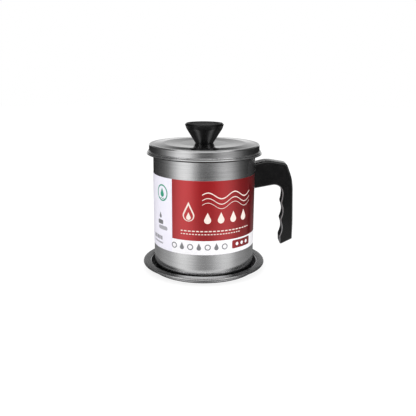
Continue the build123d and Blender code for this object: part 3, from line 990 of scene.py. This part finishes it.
class OILPOT_OT_handle(bpy.types.Operator):
    """Build the moulded side handle and dress the bracket, nut, screw and washer that hold it"""

    bl_idname = "oilpot.handle"
    bl_label = "Handle"

    def execute(self, context):
        pot, handle = settings("oilpot_pot"), settings("oilpot_handle")
        blank = linked_object("handle_blank", self.blank_mesh(pot, handle))
        cutters = [*self.slots(pot, handle), *self.screw_cutters(pot, handle)]
        for cutter in cutters:
            cut = blank.modifiers.new(cutter.name, "BOOLEAN")
            cut.operation = "DIFFERENCE"
            cut.solver = "EXACT"
            cut.object = cutter
        mesh = evaluated_mesh(blank, "side_handle")
        for spare in [blank, *cutters]:
            bpy.data.objects.remove(spare)
        mesh.shade_smooth()
        mesh.set_sharp_from_angle(angle=SHARP_ANGLE)
        # painted highlight along the handle's long rounded edges, kept off the arm in front
        half = handle.width / 2
        start, end = half - handle.rounding, half - 0.05 * handle.rounding
        fade = handle.root_bottom + handle.notch_round
        edge = (handle.edge_highlight_tone, start, end, fade)
        finish = black_moulding("handle phenolic", handle.tone, 0.16, edge)
        add_piece("side_handle", mesh, [finish], "pot", "handle_phenolic", "handle")
        dress_node("handle_bracket", plain_metal("bracket steel", (0.5, 0.5, 0.5), 0.32, 1400.0))
        dress_node("bracket_nut", plain_metal("nut steel", (0.5, 0.5, 0.52), 0.35, 1400.0))
        zinc = plain_metal("zinc plate", (0.6, 0.6, 0.58), 0.28, 2200.0)
        dress_node("handle_screw", zinc)
        dress_node("handle_washer", zinc)
        return {"FINISHED"}

    @staticmethod
    def blank_mesh(pot, handle):
        """The handle before its holes are cut: rows of its outline across it, its edges rounded."""
        path = handle_path(handle, pot.wall)
        half, rounding = handle.width / 2, handle.rounding
        arc = [math.pi / 2 * step / EDGE_STEPS for step in range(EDGE_STEPS + 1)]
        rows = [(-half + rounding * (1 - math.cos(a)), rounding * (1 - math.sin(a))) for a in arc]
        rows = [(-half, rounding + EDGE_SUPPORT), *rows, (-half / 3, 0.0)]
        rows += [(-across, inset) for across, inset in reversed(rows)]
        root_radius = pot.wall + MOULDING_GAP
        shell = bmesh.new()
        loops = []
        for across, inset in rows:
            inner = beside(path, -inset)
            root_x = math.sqrt(root_radius**2 - across**2)
            side = [complex(root_x, inner[0].imag), *inner[1:-1], complex(root_x, inner[-1].imag)]
            loops.append([shell.verts.new((point.real, across, point.imag)) for point in side])
        for here, there in zip(loops, loops[1:]):
            join_rings(shell, here, there)
        shell.faces.new(loops[0])
        shell.faces.new(loops[-1][::-1])
        return outward_mesh("handle_blank", shell)

    @staticmethod
    def slots(pot, handle):
        """Two blocks that cut the bracket's slot: behind its saddle, and over its tongue."""
        half = handle.width / 2 - BRACKET_INSET + SLOT_GAP
        drop = BRACKET_SHEET + SLOT_GAP
        saddle = pot.wall + drop
        tongue_end = pot.wall + handle.tongue + SLOT_GAP
        foot = handle.root_bottom + BRACKET_FOOT_GAP - SLOT_GAP
        above = handle.root_top + 2 * handle.crown_rise + drop
        inner = pot.wall - drop
        floor = handle.root_top - drop
        floor_end = floor + TONGUE_SLOPE * (tongue_end - pot.wall)
        side_views = {
            "saddle_slot": [(inner, foot), (saddle, foot), (saddle, above), (inner, above)],
            "tongue_slot": [
                (inner, floor),
                (pot.wall, floor),
                (tongue_end, floor_end),
                (tongue_end, above),
                (inner, above),
            ],
        }
        cutters = []
        for name, corners in side_views.items():
            shell = bmesh.new()
            ends = [
                [shell.verts.new((x, across, height)) for x, height in corners] for across in (-half, half)
            ]
            join_rings(shell, *ends)
            shell.faces.new(ends[0])
            shell.faces.new(ends[1][::-1])
            cutters.append(linked_object(name, outward_mesh(name, shell)))
        return cutters

    @staticmethod
    def screw_cutters(pot, handle):
        """Two rods along the screw's axis: its hole, and the recess of its head."""
        rods = {
            "screw_hole": (SCREW_HOLE_RADIUS, pot.wall - BRACKET_SHEET, handle.recess_floor + SLOT_GAP),
            "screw_recess": (SCREW_RECESS_RADIUS, handle.recess_floor, handle.reach + handle.rounding),
        }
        cutters = []
        for name, (radius, start, end) in rods.items():
            shell = bmesh.new()
            place = Matrix.Translation(((start + end) / 2, 0, handle.screw_height))
            bmesh.ops.create_cone(
                shell,
                cap_ends=True,
                segments=48,
                radius1=radius,
                radius2=radius,
                depth=end - start,
                matrix=place @ Matrix.Rotation(math.pi / 2, 4, "Y"),
            )
            cutters.append(linked_object(name, outward_mesh(name, shell)))
        return cutters


# ---- strainer ----------------------------------------------------------------------------
FIT_GAP = 0.1 * MILLIMETRE  # round a piece that is dropped or pressed into another
WIRES_AT_A_CROSSING = 2


class OILPOT_OT_strainer(bpy.types.Operator):
    """Build the drop-in strainer cup and the ring that clamps its mesh"""

    bl_idname = "oilpot.strainer"
    bl_label = "Strainer"

    def execute(self, context):
        steel, strainer = settings("oilpot_steel"), settings("oilpot_strainer")
        middle = steel.sheet / 2
        floor = strainer.seat - strainer.depth + middle
        rim = strainer.seat + middle
        collar = rim + strainer.collar_height
        wall = strainer.wall - middle
        collar_wall = strainer.collar - middle
        path = rounded_path(
            [
                complex(strainer.opening, floor),
                complex(wall, floor),
                complex(wall, collar),
                complex(collar_wall, collar),
                complex(collar_wall, rim),
                complex(strainer.rim - strainer.bead, rim),
            ],
            [strainer.corner, steel.draw, steel.draw, strainer.collar_corner],
        )
        outline = sheet_outline(path, steel.sheet, strainer.bead, curl_side=1)
        mesh = turned_mesh("strainer_basket", outline)
        finish = brushed_steel("strainer steel", steel.tone, 0.22, 0.5, 0.004 * MILLIMETRE)
        add_piece("strainer_basket", mesh, [finish], "strainer", "strainer_steel", "strainer_cup")

        floor_top = floor + middle
        over_mesh = floor_top + WIRES_AT_A_CROSSING * 2 * strainer.wire
        ring_top = over_mesh + strainer.ring_sheet
        foot = strainer.mesh + FIT_GAP
        corners = [
            complex(strainer.opening, over_mesh),
            complex(foot, over_mesh),
            complex(foot, floor_top),
            complex(strainer.ring, floor_top),
            complex(strainer.ring, ring_top),
            complex(strainer.opening, ring_top),
        ]
        edges = [strainer.ring_edge, strainer.ring_edge]
        around = rounded_path([*corners[3:], corners[0]], edges)
        mesh = turned_mesh("mesh_clamp_ring", [*corners[1:3], *around])
        add_piece("mesh_clamp_ring", mesh, [finish], "strainer", "strainer_steel", "mesh_ring")
        return {"FINISHED"}


class OILPOT_OT_woven_mesh(bpy.types.Operator):
    """Weave the strainer's wire mesh with Geometry Nodes"""

    bl_idname = "oilpot.woven_mesh"
    bl_label = "Woven mesh"

    def execute(self, context):
        strainer = settings("oilpot_strainer")
        low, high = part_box("strainer_mesh")
        tree = bpy.data.node_groups.new("woven wire disc", "GeometryNodeTree")
        sockets = {}
        for name, default in (
            ("Radius", strainer.mesh),
            ("Pitch", strainer.pitch),
            ("Wire radius", strainer.wire),
            ("Height", (low.z + high.z) / 2),
        ):
            socket = self.new_socket(tree, name, "INPUT", "NodeSocketFloat")
            socket.default_value = default
            sockets[name] = (socket.identifier, default)
        material_socket = self.new_socket(tree, "Finish", "INPUT", "NodeSocketMaterial")
        self.new_socket(tree, "Geometry", "OUTPUT", "NodeSocketGeometry")
        nodes = Tree(tree.nodes, tree.links)
        given = tree.nodes.new("NodeGroupInput")
        inputs = {socket.name: Value(nodes, socket) for socket in given.outputs if socket.name}
        sets = [self.wires(nodes, inputs, turned) for turned in (False, True)]
        joined = tree.nodes.new("GeometryNodeJoinGeometry")
        for wires in reversed(sets):
            tree.links.new(wires.socket, joined.inputs[0])
        both = Value(nodes, joined.outputs[0])
        real = nodes.node("GeometryNodeRealizeInstances", None, {"Geometry": both})
        smooth = nodes.node("GeometryNodeSetShadeSmooth", None, {"Geometry": real})
        dressed = nodes.node(
            "GeometryNodeSetMaterial", None, {"Geometry": smooth, "Material": inputs["Finish"]}
        )
        end = tree.nodes.new("NodeGroupOutput")
        tree.links.new(dressed.socket, end.inputs[0])

        finish = plain_metal("woven wire", (0.55, 0.55, 0.56), 0.3, 3000.0)
        loom = bpy.data.objects.new("loom", bpy.data.meshes.new("loom"))
        context.scene.collection.objects.link(loom)
        weave = loom.modifiers.new("weave", "NODES")
        weave.node_group = tree
        for identifier, value in sockets.values():
            weave[identifier] = value
        weave[material_socket.identifier] = finish
        mesh = evaluated_mesh(loom, "woven_mesh")
        mesh.materials.clear()
        bpy.data.objects.remove(loom)
        add_piece("woven_mesh", mesh, [finish], "strainer", "mesh_steel", "strainer_mesh")
        return {"FINISHED"}

    @staticmethod
    def new_socket(tree, name, direction, kind):
        """A named input or output of the node tree."""
        return tree.interface.new_socket(name, in_out=direction, socket_type=kind)

    def wires(self, nodes, inputs, turned):
        """One set of parallel wavy wires, cut to the disc; the turned set runs along Y."""
        radius, pitch = inputs["Radius"], inputs["Pitch"]
        wire, height = inputs["Wire radius"], inputs["Height"]
        inner = radius - wire
        beside_middle = nodes.math("FLOOR", inner / pitch)
        count = beside_middle * 2 + 1
        start = nodes.vector(0.0, beside_middle * pitch * -1.0, 0.0)
        row = nodes.node(
            "GeometryNodeMeshLine",
            {"mode": "OFFSET"},
            {"Count": count, "Start Location": start, "Offset": nodes.vector(0.0, pitch, 0.0)},
        )
        place = nodes.node("GeometryNodeInputPosition")
        aside = nodes.node("ShaderNodeSeparateXYZ", None, {0: place}, output=1)
        half = nodes.math("SQRT", nodes.math("MAXIMUM", inner * inner - aside * aside, 0.0))
        half = nodes.math("FLOOR", half / (pitch / 2)) * (pitch / 2)
        straight = nodes.node(
            "GeometryNodeCurvePrimitiveLine", None, {"Start": (-1.0, 0.0, 0.0), "End": (1.0, 0.0, 0.0)}
        )
        stretch = nodes.vector(nodes.math("MAXIMUM", half, pitch), 1.0, 1.0)
        laid = nodes.node(
            "GeometryNodeInstanceOnPoints",
            None,
            {"Points": row, "Instance": straight, "Scale": stretch},
        )
        loose = nodes.node("GeometryNodeRealizeInstances", None, {"Geometry": laid})
        fine = nodes.node(
            "GeometryNodeResampleCurve", {"mode": "LENGTH"}, {"Curve": loose, "Length": pitch / 2}
        )
        half_wave = math.pi
        where = nodes.node("GeometryNodeInputPosition")
        split = nodes.nodes.new("ShaderNodeSeparateXYZ")
        nodes.links.new(where.socket, split.inputs[0])
        along, over = (Value(nodes, split.outputs[index]) for index in (0, 1))
        phase = (along + over) / pitch * half_wave + (half_wave if turned else 0.0)
        lift = nodes.math("COSINE", phase) * wire
        rise = nodes.vector(0.0, 0.0, lift + height)
        wavy = nodes.node("GeometryNodeSetPosition", None, {"Geometry": fine, "Offset": rise})
        round_wire = nodes.node(
            "GeometryNodeCurvePrimitiveCircle", {"mode": "RADIUS"}, {"Resolution": 4, "Radius": wire}
        )
        wires = nodes.node(
            "GeometryNodeCurveToMesh", None, {"Curve": wavy, "Profile Curve": round_wire, "Fill Caps": True}
        )
        if not turned:
            return wires
        return nodes.node(
            "GeometryNodeTransform", None, {"Geometry": wires, "Rotation": (0.0, 0.0, math.pi / 2)}
        )


# ---- lid ---------------------------------------------------------------------------------
class OILPOT_OT_lid(bpy.types.Operator):
    """Build the polished lid"""

    bl_idname = "oilpot.lid"
    bl_label = "Lid"

    def execute(self, context):
        steel, lid = settings("oilpot_steel"), settings("oilpot_lid")
        middle = steel.sheet / 2
        skirt = lid.radius - middle
        path = rounded_path(
            [
                complex(lid.hole, lid.panel_top - middle),
                complex(lid.panel, lid.panel_top - middle),
                complex(lid.crest, lid.crest_top - middle),
                complex(lid.slope, lid.ring_top - middle),
                complex(skirt, lid.ring_top - middle),
                complex(skirt, lid.base),
            ],
            [lid.crease, 3 * lid.crease, lid.crease, lid.corner],
        )
        mesh = turned_mesh("lid_shell", sheet_outline(path, steel.sheet))
        finish = brushed_steel("lid steel", steel.tone, steel.lid_roughness, 0.4, 0.002 * MILLIMETRE)
        add_piece("lid_shell", mesh, [finish], "lid", "lid_steel", "lid")
        return {"FINISHED"}


# ---- knob --------------------------------------------------------------------------------
class OILPOT_OT_knob(bpy.types.Operator):
    """Build the cone knob with its dished cap and dress the screw, washer and insert inside it"""

    bl_idname = "oilpot.knob"
    bl_label = "Knob"

    def execute(self, context):
        lid, knob = settings("oilpot_lid"), settings("oilpot_knob")
        base = lid.panel_top * 1j
        brim_top = knob.height - knob.ledge
        pocket = knob.cap + FIT_GAP
        pocket_floor = knob.height - knob.cap_depth
        side = rounded_path(
            [
                complex(knob.insert, 0),
                complex(knob.foot, 0),
                complex(knob.shoulder, knob.shoulder_rise),
                complex(knob.brim, brim_top - knob.band),
                complex(knob.brim, brim_top),
                complex(pocket, brim_top),
            ],
            [knob.edge / 2, knob.bend, knob.edge, knob.edge],
        )
        outline = side + [
            complex(pocket, pocket_floor),
            complex(0, pocket_floor),
            complex(0, knob.insert_top),
            complex(knob.insert, knob.insert_top),
        ]
        finish = black_moulding("knob phenolic", knob.tone, 0.24)
        mesh = turned_mesh("cone_knob", [point + base for point in outline])
        add_piece("cone_knob", mesh, [finish], "lid", "knob_phenolic", "knob")

        rim = knob.cap - knob.cap_rim
        dish_floor = knob.cap_depth - knob.dish
        top = rounded_path(
            [
                complex(knob.cap, 0),
                complex(knob.cap, knob.cap_depth),
                complex(rim, knob.cap_depth),
                complex(rim - knob.dish, dish_floor),
                complex(0, dish_floor),
            ],
            [knob.edge, knob.edge, knob.dish_corner],
        )
        raised = base + complex(0, pocket_floor)
        duller = black_moulding("cap phenolic", knob.tone, 0.42)
        mesh = turned_mesh("knob_dish", [point + raised for point in [0j, *top]])
        add_piece("knob_dish", mesh, [duller], "lid", "knob_phenolic", "knob_cap")
        dress_node("knob_insert", plain_metal("turned brass", (0.7, 0.52, 0.22), 0.3, 1800.0))
        zinc = plain_metal("lid screw zinc", (0.6, 0.6, 0.58), 0.28, 2200.0)
        dress_node("knob_screw", zinc)
        dress_node("knob_washer", zinc)
        return {"FINISHED"}


# ---- stage -------------------------------------------------------------------------------
LAMPS = (  # name, place in metres, width in metres and power in watts
    ("key softbox", (-0.9, -1.1, 1.5), 0.9, 8.0),
    ("side softbox", (1.4, -0.5, 0.7), 0.8, 7.0),
    ("top softbox", (0.1, 0.3, 1.9), 1.2, 9.0),
)
LAMP_AIM = (0, 0, 0.08)


class OILPOT_OT_stage(bpy.types.Operator):
    """Set up the camera, the pale floor and the soft studio light"""

    bl_idname = "oilpot.stage"
    bl_label = "Stage"

    def execute(self, context):
        stage = settings("oilpot_stage")
        context.scene.view_settings.view_transform = "Standard"
        self.camera(context, stage)
        self.floor(context, stage)
        self.studio(context)
        for name, place, width, power in LAMPS:
            self.lamp(context, name, place, width, power)
        return {"FINISHED"}

    def camera(self, context, stage):
        """The camera looks slightly down and a touch to the right, with a slight roll."""
        down, right, roll = stage.pitch, stage.yaw, stage.roll
        ahead = Vector(
            (math.sin(right) * math.cos(down), math.cos(right) * math.cos(down), -math.sin(down))
        )
        level = ahead.cross(Vector((0, 0, 1))).normalized()
        upright = level.cross(ahead)
        across = level * math.cos(roll) + upright * math.sin(roll)
        up = upright * math.cos(roll) - level * math.sin(roll)
        camera = bpy.data.objects.new("camera", bpy.data.cameras.new("camera"))
        camera.data.sensor_width = 36.0
        camera.data.lens = stage.lens
        turn = Matrix((across, up, -ahead)).transposed().to_4x4()
        place = Matrix.Translation((0, -stage.camera_distance, stage.camera_height))
        camera.matrix_world = place @ turn
        context.scene.collection.objects.link(camera)
        context.scene.camera = camera

    def floor(self, context, stage):
        """A round pale floor. It is white to the camera and keeps the pot's soft shadow."""
        shell = bmesh.new()
        bmesh.ops.create_circle(shell, cap_ends=True, segments=96, radius=stage.floor_radius)
        floor = bpy.data.objects.new("floor", finished_mesh("floor", shell))
        material, tree = new_material("pale floor")
        seen = tree.node("ShaderNodeLightPath", None, None, output=0)
        pale = tree.node("ShaderNodeBsdfDiffuse", None, {"Color": (0.8, 0.8, 0.8, 1)})
        shadow = tree.node("ShaderNodeBsdfDiffuse", None, {"Color": (0.22, 0.22, 0.22, 1)})
        white = tree.node("ShaderNodeEmission", None, {"Color": (0.82, 0.82, 0.82, 1), "Strength": 1.0})
        bright = tree.node("ShaderNodeAddShader", None, {0: shadow, 1: white})
        surface = tree.node("ShaderNodeMixShader", None, {0: seen, 1: pale, 2: bright})
        tree.node("ShaderNodeOutputMaterial", None, {"Surface": surface})
        floor.data.materials.append(material)
        floor.visible_glossy = False
        context.scene.collection.objects.link(floor)

    def studio(self, context):
        """The studio round the pot: white to the camera, bright cards and dark gaps to the steel."""
        world = bpy.data.worlds.new("studio")
        world.use_nodes = True
        context.scene.world = world
        tree = Tree(world.node_tree.nodes, world.node_tree.links)
        x, y, z = self.way(tree)
        turn = tree.math("ARCTAN2", x, tree.math("MULTIPLY", y, -1.0)) / (2 * math.pi) + 0.5
        below, cards = STUDIO_BANDS[0][0], self.cards(tree, turn, STUDIO_BANDS[0][1])
        for height, levels in STUDIO_BANDS[1:]:
            rise = tree.clamped((z - below) / (height - below))
            cards = tree.mix(rise, cards, self.cards(tree, turn, levels))
            below = height
        camera = tree.node("ShaderNodeLightPath", None, None, output=0)
        glossy = tree.node("ShaderNodeLightPath", None, None, output=3)
        soft = tree.node("ShaderNodeBackground", None, {"Color": (0.88, 0.88, 0.89, 1), "Strength": 1.0})
        mirrored = tree.node("ShaderNodeBackground", None, {"Color": cards, "Strength": 1.15})
        white = tree.node("ShaderNodeBackground", None, {"Color": (1, 1, 1, 1), "Strength": 1.0})
        unseen = tree.node("ShaderNodeMixShader", None, {0: glossy, 1: soft, 2: mirrored})
        surface = tree.node("ShaderNodeMixShader", None, {0: camera, 1: unseen, 2: white})
        tree.node("ShaderNodeOutputWorld", None, {"Surface": surface})

    @staticmethod
    def way(tree):
        """The direction that the studio is looked at, as x, y and z."""
        direction = tree.node("ShaderNodeTexCoord", None, None, output=0)
        split = tree.nodes.new("ShaderNodeSeparateXYZ")
        tree.links.new(direction.socket, split.inputs[0])
        return [Value(tree, socket) for socket in split.outputs]

    @staticmethod
    def cards(tree, turn, levels):
        """Brightness round the studio, from pairs of degrees (0 is the front) and brightness."""
        stops = [((degrees + 180) / 360, level) for degrees, level in levels]
        return tree.node("ShaderNodeValToRGB", {"stops": stops}, {0: turn})

    @staticmethod
    def lamp(context, name, place, width, power):
        """A square soft lamp that faces the pot."""
        light = bpy.data.lights.new(name, "AREA")
        light.size = width
        light.energy = power
        lamp = bpy.data.objects.new(name, light)
        facing = (Vector(LAMP_AIM) - Vector(place)).to_track_quat("-Z", "Y")
        lamp.matrix_world = Matrix.Translation(place) @ facing.to_matrix().to_4x4()
        lamp.visible_glossy = False
        context.scene.collection.objects.link(lamp)


# Brightness of the studio: degrees round it (0 is the front, 90 the handle's side) and a level.
WALL_LOW = (
    (-180, 0.2), (-128, 0.3), (-114, 0.4), (-103, 0.5), (-85, 0.58), (-69, 0.8), (-56, 1.0),
    (-43, 1.0), (-31, 0.85), (-20, 0.68), (-9, 0.52), (3, 0.46), (14, 0.56), (30, 0.85), (46, 1.0),
    (62, 0.9), (78, 0.56), (92, 0.44), (106, 0.38), (116, 0.31), (128, 0.26), (180, 0.2),
)
WALL_HIGH = (
    (-180, 0.01), (-140, 0.03), (-118, 0.05), (-103, 0.07), (-86, 0.17), (-70, 0.52), (-56, 0.84),
    (-43, 0.92), (-31, 0.76), (-20, 0.3), (-8, 0.02), (3, 0.0), (14, 0.0), (24, 0.1), (36, 0.38),
    (48, 0.56), (60, 0.54), (74, 0.3), (88, 0.1), (104, 0.04), (130, 0.01), (180, 0.01),
)
WALL_TOP = (
    (-180, 0.01), (-118, 0.04), (-103, 0.09), (-86, 0.24), (-70, 0.5), (-56, 0.8), (-43, 0.88),
    (-31, 0.8), (-20, 0.52), (-8, 0.2), (3, 0.15), (14, 0.2), (24, 0.36), (36, 0.36), (48, 0.28),
    (60, 0.2), (74, 0.12), (88, 0.06), (104, 0.03), (180, 0.01),
)


def mirrored(*stops):
    """The same brightness on the left and on the right, from stops of 0 degrees and up."""
    return tuple((-degrees, level) for degrees, level in reversed(stops) if degrees) + stops


FRONT_CARD = ((0, 1.4), (40, 1.2), (70, 0.05))  # the bright card over the camera
# The card low in front, which lights the walls when they are seen from high up.
HIGH_VIEW_CARD = ((0, 0.4), (40, 0.65), (75, 0.4), (90, 0.3), (105, 0.01), (180, 0.01))

# The bands lie one above the other: the height of the way that is looked along, and its levels.
STUDIO_BANDS = (
    (-0.8, mirrored((0, 0.01), (180, 0.01))),
    (-0.74, mirrored(*HIGH_VIEW_CARD)),
    (-0.54, mirrored(*HIGH_VIEW_CARD)),
    (-0.45, mirrored((0, 0.01), (180, 0.01))),
    (-0.335, WALL_LOW),
    (-0.21, WALL_HIGH),
    (-0.16, WALL_HIGH),
    (-0.14, WALL_TOP),
    (-0.09, WALL_TOP),
    (-0.03, mirrored((0, 1.2), (40, 1.1), (70, 0.05), (146, 0.05), (160, 0.8), (180, 0.9))),
    (0.07, mirrored(*FRONT_CARD, (146, 0.1), (160, 0.7), (180, 0.8))),
    (0.13, mirrored(*FRONT_CARD, (140, 0.1), (160, 0.6), (172, 0.52), (180, 0.3))),
    (0.185, mirrored(*FRONT_CARD, (146, 0.1), (160, 0.7), (172, 0.35), (180, 0.3))),
    (0.215, mirrored(*FRONT_CARD, (146, 0.1), (160, 0.7), (172, 0.5), (177, 0.08), (180, 0.02))),
    (0.26, mirrored(*FRONT_CARD, (150, 0.2), (165, 0.3), (172, 0.1), (177, 0.01), (180, 0.01))),
    (0.29, mirrored(*FRONT_CARD, (150, 0.15), (165, 0.05), (180, 0.02))),
    (0.31, mirrored(*FRONT_CARD, (150, 0.4), (174, 0.42), (180, 0.2))),
    (0.34, mirrored(*FRONT_CARD, (150, 0.4), (174, 0.42), (180, 0.1))),
    (0.36, mirrored(*FRONT_CARD, (150, 0.05), (180, 0.02))),
    (0.48, mirrored((0, 1.2), (40, 1.0), (70, 0.1), (150, 0.05), (180, 0.1))),
    (0.6, mirrored((0, 0.25), (40, 0.15), (100, 0.05), (140, 0.1), (180, 0.2))),
    (0.83, mirrored((0, 0.01), (50, 0.05), (72, 2.8), (90, 0.4), (112, 0.1), (140, 0.8), (180, 1.0))),
    (0.97, mirrored((0, 0.05), (90, 0.5), (180, 1.0))),
)


# ---- panel and registration --------------------------------------------------------------
GROUPS = {
    "oilpot_steel": SteelSettings,
    "oilpot_pot": PotSettings,
    "oilpot_saucer": SaucerSettings,
    "oilpot_label": LabelSettings,
    "oilpot_handle": HandleSettings,
    "oilpot_strainer": StrainerSettings,
    "oilpot_lid": LidSettings,
    "oilpot_knob": KnobSettings,
    "oilpot_stage": StageSettings,
}
OPERATORS = (
    OILPOT_OT_stage,
    OILPOT_OT_saucer,
    OILPOT_OT_pot,
    OILPOT_OT_label,
    OILPOT_OT_handle,
    OILPOT_OT_strainer,
    OILPOT_OT_woven_mesh,
    OILPOT_OT_lid,
    OILPOT_OT_knob,
)


class OILPOT_PT_panel(bpy.types.Panel):
    """The pot's pieces and their settings"""

    bl_idname = "OILPOT_PT_panel"
    bl_label = "Oil strainer pot"
    bl_space_type = "VIEW_3D"
    bl_region_type = "UI"
    bl_category = "Oil Pot"

    def draw(self, context):
        for operator in OPERATORS:
            self.layout.operator(operator.bl_idname)
        for group in GROUPS:
            box = self.layout.box()
            for name in GROUPS[group].__annotations__:
                box.prop(getattr(context.scene, group), name)


def register():
    for group in GROUPS.values():
        bpy.utils.register_class(group)
    for operator in (*OPERATORS, OILPOT_PT_panel):
        bpy.utils.register_class(operator)
    for name, group in GROUPS.items():
        setattr(bpy.types.Scene, name, bpy.props.PointerProperty(type=group))


def unregister():
    for name in GROUPS:
        delattr(bpy.types.Scene, name)
    for kind in (OILPOT_PT_panel, *OPERATORS, *GROUPS.values()):
        bpy.utils.unregister_class(kind)


def main():
    """Build the whole scene."""
    register()
    for operator in OPERATORS:
        family, name = operator.bl_idname.split(".")
        getattr(getattr(bpy.ops, family), name)()


if __name__ == "__main__":
    main()
